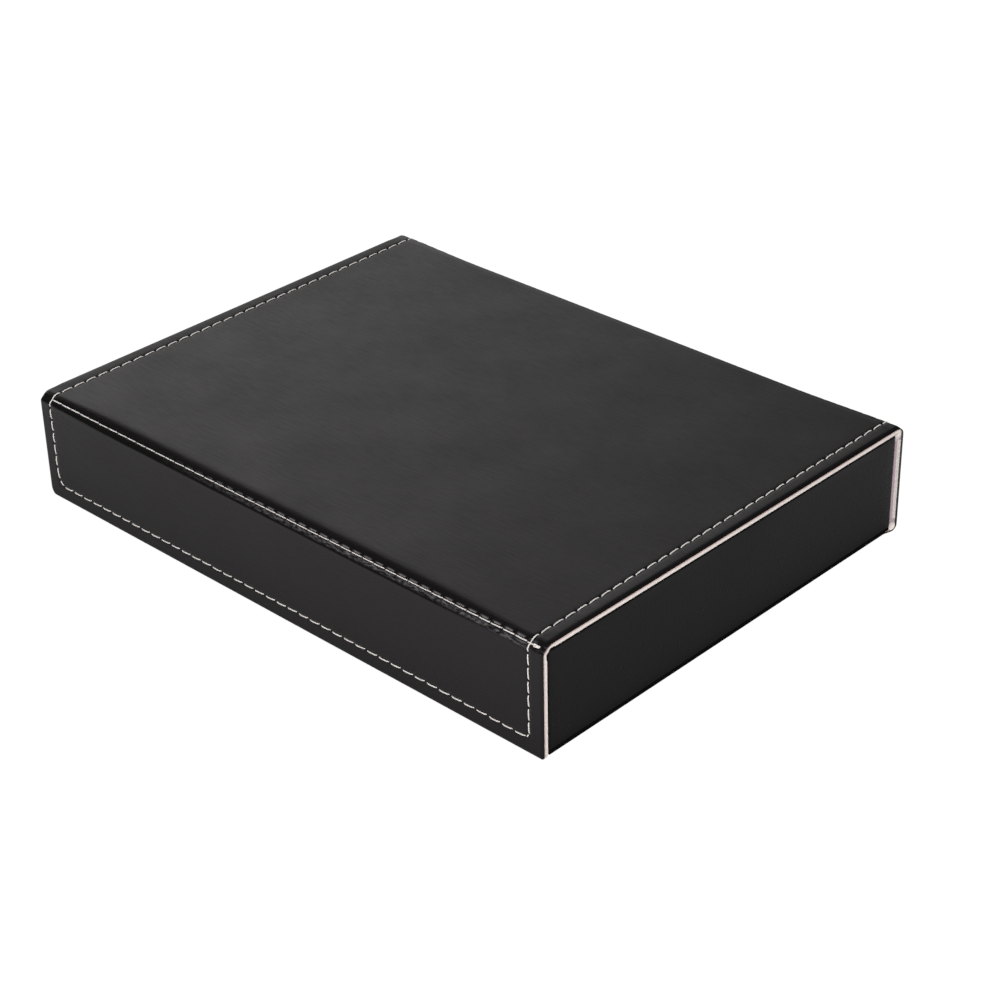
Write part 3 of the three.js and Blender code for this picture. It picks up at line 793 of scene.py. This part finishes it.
def soft_block(name, low, high, radius, crown, counts, axis=2):
    """A padded block: a fine box with rounded edges whose broad faces swell between them."""
    low, high = np.array(low, float), np.array(high, float)
    middle, half = (low + high) / 2, (high - low) / 2
    vertices, faces = box_grid(counts)
    share = vertices / np.array(counts) * 2 - 1
    eased = np.sign(share) * (1 - (1 - np.abs(share)) ** 1.6)
    points = eased * half
    core = np.clip(points, -(half - radius), half - radius)
    out = points - core
    tiny = 1e-9
    length = np.linalg.norm(out, axis=1, keepdims=True)
    points = core + np.where(length > tiny, out / np.maximum(length, tiny) * radius, 0)
    swell = np.ones(len(points))
    for other in range(3):
        if other != axis:
            swell = swell * (1 - np.abs(points[:, other] / half[other]) ** 4)
    points[:, axis] += crown * swell * (points[:, axis] > 0)
    piece = new_object(name, points + middle, faces, VELVET, smooth_angle=60)
    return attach(piece, "tray")


def node_box(*names):
    lows, highs = zip(*(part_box(name) for name in names))
    return np.min(lows, axis=0) / MM, np.max(highs, axis=0) / MM


def make_pads():
    for row in range(1, 5):
        for side in ("left", "right"):
            node = f"floor_pad_{row}_{side}"
            pad = soft_block(f"cell_pad_{row}_{side}", *node_box(node), PAD_ROUND, PAD_CROWN, (40, 18, 4))
            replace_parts(pad, node)


def make_wall_velvet():
    for side, axis in (("front", 1), ("back", 1), ("left", 0), ("right", 0)):
        node = f"velvet_{side}"
        counts = (60, 3, 12) if axis == 1 else (3, 48, 12)
        card = soft_block(f"wall_velvet_{side}", *node_box(node), CARD_ROUND, 0, counts, axis)
        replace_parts(card, node)


def make_dividers():
    edges = []
    for index in (1, 2, 3):
        nodes = (f"cross_divider_{index}_core", f"cross_divider_{index}_velvet")
        low, high = node_box(*nodes)
        edges += [low[1], high[1]]
        piece = soft_block(f"cross_divider_{index}", low, high, PAD_ROUND, DIVIDER_CROWN, (90, 5, 14))
        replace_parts(piece, *nodes)
    nodes = ("middle_divider_core", "middle_divider_velvet")
    low, high = node_box(*nodes)
    edges = [low[1], *edges, high[1]]
    for index in range(4):
        part_low = (low[0], edges[2 * index] + MIDDLE_GAP, low[2])
        part_high = (high[0], edges[2 * index + 1] - MIDDLE_GAP, high[2] - MIDDLE_LOWER)
        name = f"middle_divider_{index + 1}"
        piece = soft_block(name, part_low, part_high, PAD_ROUND, MIDDLE_CROWN, (5, 20, 14))
        if index == 0:
            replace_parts(piece, *nodes)


def dress_nodes():
    """Finishes of the stiff pieces that the frame shows itself."""
    for name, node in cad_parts.items():
        if "magnet" in name:
            finish = NICKEL
        elif name.startswith("tray_"):
            finish = FIBRE_BOARD
        else:
            finish = BOARD_EDGE_FINISH
        node.data.materials.clear()
        node.data.materials.append(finish)


# Materials, whose patterns are given in waves per metre and whose bumps are in metres


class Nodes:
    """Short way to add and join shader nodes."""

    def __init__(self, name, world=False):
        made = bpy.data.worlds.new(name) if world else bpy.data.materials.new(name)
        made.use_nodes = True
        self.made = made
        self.tree = made.node_tree
        self.tree.nodes.clear()
        self.output = self.add("ShaderNodeOutputWorld" if world else "ShaderNodeOutputMaterial")

    def add(self, kind, inputs=None, **settings):
        node = self.tree.nodes.new(kind)
        for key, value in settings.items():
            setattr(node, key, value)
        for key, value in (inputs or {}).items():
            if isinstance(value, bpy.types.NodeSocket):
                self.tree.links.new(value, node.inputs[key])
            else:
                node.inputs[key].default_value = value
        return node

    def math(self, operation, *values, clamp=False):
        node = self.add("ShaderNodeMath", dict(enumerate(values)), operation=operation, use_clamp=clamp)
        return node.outputs[0]

    def times(self, a, b):
        return self.math("MULTIPLY", a, b)

    def weigh(self, a, a_share, b, b_share):
        """a * a_share + b * b_share."""
        return self.math("ADD", self.times(a, a_share), self.times(b, b_share))

    def mix_value(self, factor, a, b):
        """a + (b - a) * factor."""
        return self.math("ADD", a, self.times(factor, self.math("SUBTRACT", b, a)))

    def ramp(self, value, low, high, to_low=0.0, to_high=1.0, kind="SMOOTHSTEP"):
        inputs = {"Value": value, "From Min": low, "From Max": high, "To Min": to_low, "To Max": to_high}
        return self.add("ShaderNodeMapRange", inputs, interpolation_type=kind).outputs["Result"]

    def window(self, value, start, full, fade, end):
        """1 between full and fade, and 0 before start and after end, places in millimetres."""
        rising = self.ramp(value, start * MM, full * MM)
        return self.times(rising, self.ramp(value, fade * MM, end * MM, 1.0, 0.0))

    def coordinates(self, kind="Object"):
        return self.add("ShaderNodeTexCoord").outputs[kind]

    def mapped(self, place, scale, turn=0.0):
        inputs = {"Vector": place, "Rotation": (0, 0, turn), "Scale": scale}
        return self.add("ShaderNodeMapping", inputs).outputs["Vector"]

    def parts(self, vector):
        return self.add("ShaderNodeSeparateXYZ", {"Vector": vector}).outputs

    def noise(self, place, scale, detail=2.0, roughness=0.5):
        inputs = {"Vector": place, "Scale": scale, "Detail": detail, "Roughness": roughness}
        return self.add("ShaderNodeTexNoise", inputs).outputs["Fac"]

    def mix(self, factor, a, b):
        """A mix of two colours, each three numbers or a socket."""
        factor_socket, a_socket, b_socket, result = 0, 6, 7, 2
        a, b = (c if isinstance(c, bpy.types.NodeSocket) else (*c, 1) for c in (a, b))
        inputs = {factor_socket: factor, a_socket: a, b_socket: b}
        return self.add("ShaderNodeMix", inputs, data_type="RGBA").outputs[result]

    def bump(self, height, distance, strength=1.0, normal=None):
        inputs = {"Height": height, "Distance": distance, "Strength": strength}
        if normal is not None:
            inputs["Normal"] = normal
        return self.add("ShaderNodeBump", inputs).outputs["Normal"]

    def surface(self, inputs):
        return self.finish(self.add("ShaderNodeBsdfPrincipled", inputs).outputs["BSDF"])

    def finish(self, shader):
        self.tree.links.new(shader, self.output.inputs["Surface"])
        return self.made


def painted_fold_highlights(n, uv):
    """Share and colour of the painted highlights round the front fold's stitches: pale dashes on the puffs
    above the row and a mottled band below it.
    """
    parts = n.parts(uv)
    below = n.math("SUBTRACT", parts["Y"], S_FRONT * MM)
    # painted highlight: a mottled pale band below the row, where the wrinkles would catch the lamps
    mottled_highlight_band = n.window(below, 0.6, 1.2, 2.2, 3.4)
    to_right = n.ramp(parts["X"], -0.085, 0.03)
    along = n.times(to_right, n.ramp(parts["X"], 0.1515, 0.153, 1.0, 0.15))
    first, second = (hole[0] * MM for hole in FOLD_ROWS["front"][:2])
    turn = 2 * math.pi / (second - first)
    wave = n.math("COSINE", n.math("MULTIPLY_ADD", parts["X"], turn, -turn * first))
    # painted highlight: pale dashes on the puffs above the row, between its holes
    above = n.window(below, -1.8, -1.2, -0.9, -0.55)
    puffs = n.ramp(n.times(above, n.ramp(wave, -0.6, 0.75, 1.0, 0.0)), 0.25, 0.6, 0.0, 0.75)
    share = n.times(n.math("MAXIMUM", mottled_highlight_band, puffs), along)
    strokes = n.noise(n.mapped(uv, (1.0, 2.4, 1.0), 0.6), 380.0)
    tone = n.math("ADD", n.ramp(strokes, 0.35, 0.75, 0.0, 0.55), n.times(puffs, 0.9))
    return share, n.mix(tone, (0.008, 0.0075, 0.0079), (0.16, 0.15, 0.156))


def bent_share(n, uv):
    """1 on the folds of the cover, where the leather is stretched and glossy, and 0 away from them."""
    place = n.parts(uv)["Y"]
    shares = []
    for middle in FOLD_PLACES.values():
        away = n.math("ABSOLUTE", n.math("SUBTRACT", place, middle * MM))
        shares.append(n.ramp(away, 0.0035, 0.0065, 1.0, 0.0))
    return n.math("MAXIMUM", n.math("MAXIMUM", shares[0], shares[1]), shares[2])


def leather(name, dark, light, rough, grain, specular):
    """Imitation leather: fine pebbled grain, faint rolled lines and slow unevenness."""
    n = Nodes(name)
    uv = n.coordinates("UV" if name == "cover_leather" else "Object")
    pebbles = {"Vector": uv, "Scale": 1250.0}
    cells = n.add("ShaderNodeTexVoronoi", pebbles, feature="SMOOTH_F1").outputs["Distance"]
    pores = n.noise(uv, 2600.0, 3.0)
    lines = n.noise(n.mapped(uv, (1.0, 7.0, 7.0)), 95.0, 4.0, 0.6)
    patches = n.noise(uv, 28.0, 3.0)
    slow = n.noise(uv, 16.0, 1.0)
    colour = n.mix(n.weigh(patches, 0.6, lines, 0.4), dark, light)
    uneven = n.weigh(patches, 0.5, lines, 0.5)
    roughness = n.ramp(uneven, 0.3, 0.7, rough - 0.07, rough + 0.07, "LINEAR")
    rolled = n.bump(lines, 0.00012, 0.9, n.bump(slow, 0.0006, 0.9))
    fine = n.bump(n.weigh(cells, -0.8, pores, 0.5), 0.00006, grain, rolled)
    if name == "cover_leather":
        roughness = n.mix_value(bent_share(n, uv), roughness, FOLD_ROUGHNESS)
        layer = n.add("ShaderNodeUVMap", uv_map="Layer").outputs["UV"]
        backing = n.ramp(n.parts(layer)["X"], 0.66, 0.72)
        weave = n.mix(pores, (0.34, 0.25, 0.225), (0.52, 0.40, 0.37))
        # the front fold's painted highlights are mixed into the leather's colour here
        highlight_share, highlight_colour = painted_fold_highlights(n, uv)
        colour = n.mix(backing, n.mix(highlight_share, colour, highlight_colour), weave)
        roughness = n.mix_value(backing, roughness, 0.9)
        # painted shade: the leather under the case loses its shine, as if in the case's shadow
        painted_shade_under_case = ((S_BOTTOM - 9) * MM, (S_BOTTOM - 6) * MM)
        specular = n.ramp(n.parts(uv)["Y"], *painted_shade_under_case, 0.0, specular)
    else:
        # painted shade: the tray leather's lowest few millimetres lose their shine
        foot = ((SHADED_FOOT_HEIGHT - SHADED_FOOT_FADE) * MM, SHADED_FOOT_HEIGHT * MM)
        specular = n.ramp(n.parts(uv)["Z"], *foot, 0.0, specular)
    return n.surface({
        "Base Color": colour, "Roughness": roughness, "Normal": fine, "IOR": 1.5,
        "Specular IOR Level": specular, "Specular Tint": (1.0, 0.885, 0.965, 1),
    })


def painted_spine_end_shade(n):
    """1 at the two ends of the spine's lining, pressed between tray and board, where a darker colour is
    painted as the shade of that gap.
    """
    place = n.parts(n.coordinates("UV"))
    across = n.ramp(n.math("ABSOLUTE", place["X"]), 0.1571, 0.1581)
    between_folds = (S_BOTTOM + 1.5, S_BOTTOM + BOARD_EDGE, S_BACK - BOARD_EDGE, S_BACK - 1.5)
    return n.times(across, n.window(place["Y"], *between_folds))


def velvet(name, base, shade, sheen=0.5):
    """Short cut pile with brushed patches."""
    n = Nodes(name)
    place = n.coordinates()
    pile = n.noise(place, 2400.0, 2.0, 0.6)
    tufts = n.noise(place, 700.0, 3.0, 0.6)
    brushed = n.noise(place, 34.0, 3.0, 0.55)
    tone = n.weigh(brushed, 0.55, tufts, 0.45)
    colour = n.mix(n.ramp(tone, 0.32, 0.68), shade, base)
    if name == "cover_lining":
        # painted shade: the cover's lining is darker at the ends of the spine, deep in the gap beside the
        # tray
        colour = n.mix(painted_spine_end_shade(n), colour, n.mix(tone, (0.27, 0.21, 0.24), (0.36, 0.28, 0.31)))
    height = n.math("ADD", n.times(pile, 0.5), tufts)
    soft = n.bump(n.noise(place, 60.0), 0.0008, 0.25)
    return n.surface({
        "Base Color": colour, "Roughness": 0.95, "Normal": n.bump(height, 0.00022, 0.6, soft),
        "Specular IOR Level": 0.15, "Sheen Weight": sheen, "Sheen Roughness": 0.5, "Sheen Tint": (*base, 1),
    })


def thread_finish():
    """Twisted polyester thread: slanting plies along its length."""
    n = Nodes("sewing_thread")
    uv = n.coordinates("UV")
    parts = n.parts(uv)
    along_turns, round_turns = 6200.0, 5236.0
    plies = n.math("SINE", n.weigh(parts["X"], along_turns, parts["Y"], round_turns))
    tone = n.weigh(plies, 0.25, n.noise(uv, 5200.0), 0.8)
    colour = n.mix(n.ramp(tone, 0.1, 0.7), (0.50, 0.46, 0.43), (0.72, 0.68, 0.65))
    return n.surface({
        "Base Color": colour, "Roughness": 0.6, "Normal": n.bump(tone, 0.00012, 0.7),
        "Sheen Weight": 0.2, "Specular IOR Level": 0.35,
    })


def board_finish(name, pale, dark):
    """Grey-cream board with fibres and a rough cut edge."""
    n = Nodes(name)
    fibres = n.noise(n.mapped(n.coordinates(), (0.3, 0.3, 3.0)), 900.0, 4.0, 0.65)
    return n.surface({
        "Base Color": n.mix(n.ramp(fibres, 0.3, 0.7), dark, pale), "Roughness": 0.9,
        "Normal": n.bump(fibres, 0.00012, 0.6), "Specular IOR Level": 0.2,
    })


def nickel_finish():
    n = Nodes("magnet_nickel")
    scuffs = n.noise(n.coordinates(), 800.0, 3.0)
    rough = n.ramp(scuffs, 0.3, 0.7, 0.2, 0.35)
    return n.surface({"Base Color": (0.62, 0.62, 0.63, 1), "Metallic": 1.0, "Roughness": rough})


COVER_LEATHER = leather("cover_leather", (0.0042, 0.0038, 0.004), (0.0062, 0.0057, 0.006), 0.36, 0.3, 0.24)
TRAY_LEATHER = leather("tray_leather", (0.0036, 0.0032, 0.0034), (0.005, 0.0046, 0.0048), 0.3, 0.18, 0.1)
LINING = velvet("cover_lining", (0.70, 0.645, 0.615), (0.61, 0.545, 0.515))
VELVET = velvet("cell_velvet", (0.74, 0.66, 0.57), (0.60, 0.52, 0.43), 0.6)
THREAD = thread_finish()
BOARD_EDGE_FINISH = board_finish("cover_board", (0.72, 0.665, 0.635), (0.59, 0.525, 0.495))
FIBRE_BOARD = board_finish("fibre_board", (0.45, 0.33, 0.22), (0.33, 0.23, 0.15))
NICKEL = nickel_finish()


# Floor, background, light and camera


FLOOR_GREY = 0.8
SHADOW_GREY = 0.16
FLOOR_SHOWN = 0.9
FLOOR_HALF_SIZE = 20000.0
FLOOR_Z = -0.0004
NEAR_REACH = 0.08
TOUCHING_REACH = 0.0038


def seen_directly(nodes):
    """Rays straight to the camera, and rays that are mirrored or go through glass."""
    path = nodes.add("ShaderNodeLightPath").outputs
    mirrored = nodes.math("MAXIMUM", path["Is Glossy Ray"], path["Is Transmission Ray"])
    return path["Is Camera Ray"], mirrored


def distance_from_case(nodes):
    """0 at the case's foot and 1 from some way out on the floor, then the same much closer to it."""
    parts = nodes.parts(nodes.coordinates())
    out_x = nodes.math("SUBTRACT", nodes.math("ABSOLUTE", parts["X"]), HALF_LENGTH * MM)
    out_y = nodes.math("SUBTRACT", nodes.math("ABSOLUTE", parts["Y"]), HALF_DEPTH * MM)
    near = nodes.math("DIVIDE", nodes.math("MAXIMUM", out_x, out_y), NEAR_REACH, clamp=True)
    steep = nodes.times(out_y, 4.0)
    return near, nodes.math("DIVIDE", nodes.math("MAXIMUM", out_x, steep), TOUCHING_REACH, clamp=True)


def make_floor():
    n = Nodes("floor")
    camera_ray, mirrored = seen_directly(n)
    shown = n.math("MAXIMUM", camera_ray, mirrored)
    plain, faint = (
        n.add("ShaderNodeBsdfDiffuse", {"Color": (grey, grey, grey, 1)}).outputs[0]
        for grey in (FLOOR_GREY, SHADOW_GREY)
    )
    near, touching = distance_from_case(n)
    away = n.times(n.math("POWER", near, 0.6), 0.41)
    # painted shadow: the floor as seen in reflections is dimmer near the case and darkest where it touches
    # it
    mirrored_with_painted_shadow = n.times(n.math("ADD", away, 0.2), n.ramp(touching, 0.0, 1.0, 0.15, 1.0))
    strength = n.mix_value(camera_ray, mirrored_with_painted_shadow, FLOOR_SHOWN)
    white = n.add("ShaderNodeEmission", {"Color": (1, 1, 1, 1), "Strength": strength})
    lit = n.add("ShaderNodeAddShader", {0: faint, 1: white.outputs[0]})
    material = n.finish(n.add("ShaderNodeMixShader", {0: shown, 1: plain, 2: lit.outputs[0]}).outputs[0])
    size = FLOOR_HALF_SIZE
    corners = [(-size, -size, 0), (size, -size, 0), (size, size, 0), (-size, size, 0)]
    floor = new_object("floor", corners, [(0, 1, 2, 3)], material)
    floor.location.z = FLOOR_Z


def make_world():
    """A white backdrop behind the case on the left, dark all round it, plain white for the camera."""
    n = Nodes("studio", world=True)
    camera_ray, mirrored = seen_directly(n)
    parts = n.parts(n.coordinates("Generated"))
    across = n.weigh(parts["X"], -0.80, parts["Y"], 0.42)
    towards = n.math("MULTIPLY_ADD", parts["Z"], 0.42, across)
    near_middle = n.ramp(towards, 0.81, 1.0, kind="LINEAR")
    backdrop = n.times(n.math("POWER", near_middle, 1.4), n.ramp(parts["Z"], 0.05, 0.3))
    ambient = n.math("MULTIPLY_ADD", mirrored, -0.3, 0.32)
    strength = n.math("MULTIPLY_ADD", backdrop, 1.5, ambient)
    shown = n.math("MAXIMUM", camera_ray, strength)
    background = n.add("ShaderNodeBackground", {"Color": (1, 1, 1, 1), "Strength": shown})
    bpy.context.scene.world = n.finish(background.outputs[0])


def area_lamp(name, place, target, size, power, mirrored=True):
    lamp = bpy.data.lights.new(name, "AREA")
    lamp.shape = "DISK"
    lamp.size = size
    lamp.energy = power
    holder = bpy.data.objects.new(name, lamp)
    holder.location = place
    holder.rotation_euler = (Vector(target) - Vector(place)).to_track_quat("-Z", "Y").to_euler()
    holder.visible_glossy = mirrored
    bpy.context.scene.collection.objects.link(holder)


def make_lights():
    area_lamp("key", (1.5, -0.9, 1.9), (0, 0, 0), 0.8, 38.0)
    area_lamp("fill", (1.3, -1.9, 0.9), (0, 0, 0), 0.8, 26.0, mirrored=False)
    area_lamp("glint", (-0.45, -2.3, 0.42), (0, 0, 0.03), 0.5, 9.0)


def make_camera():
    """The photograph's view, from a fit of the case's corners in the 990 pixel frame."""
    camera = bpy.data.cameras.new("camera")
    focal_pixels = 2399.4
    frame_pixels = 990.0
    camera.sensor_width = 36.0
    camera.lens = camera.sensor_width * focal_pixels / frame_pixels
    holder = bpy.data.objects.new("camera", camera)
    right = Vector((0.7249, 0.6886, -0.0199)).normalized()
    down = Vector((0.336, -0.3786, -0.8624)).normalized()
    back = right.cross(-down).normalized()
    turn = Matrix((right, back.cross(right), back)).transposed()
    holder.matrix_world = Matrix.Translation(Vector((685.5, -684.9, 576.7)) * MM) @ turn.to_4x4()
    bpy.context.scene.collection.objects.link(holder)
    bpy.context.scene.camera = holder


make_camera()
make_cover()
make_lining()
make_stitches()
make_tray()
make_pads()
make_wall_velvet()
make_dividers()
dress_nodes()
make_floor()
make_world()
make_lights()
bpy.context.scene.view_settings.view_transform = "Standard"
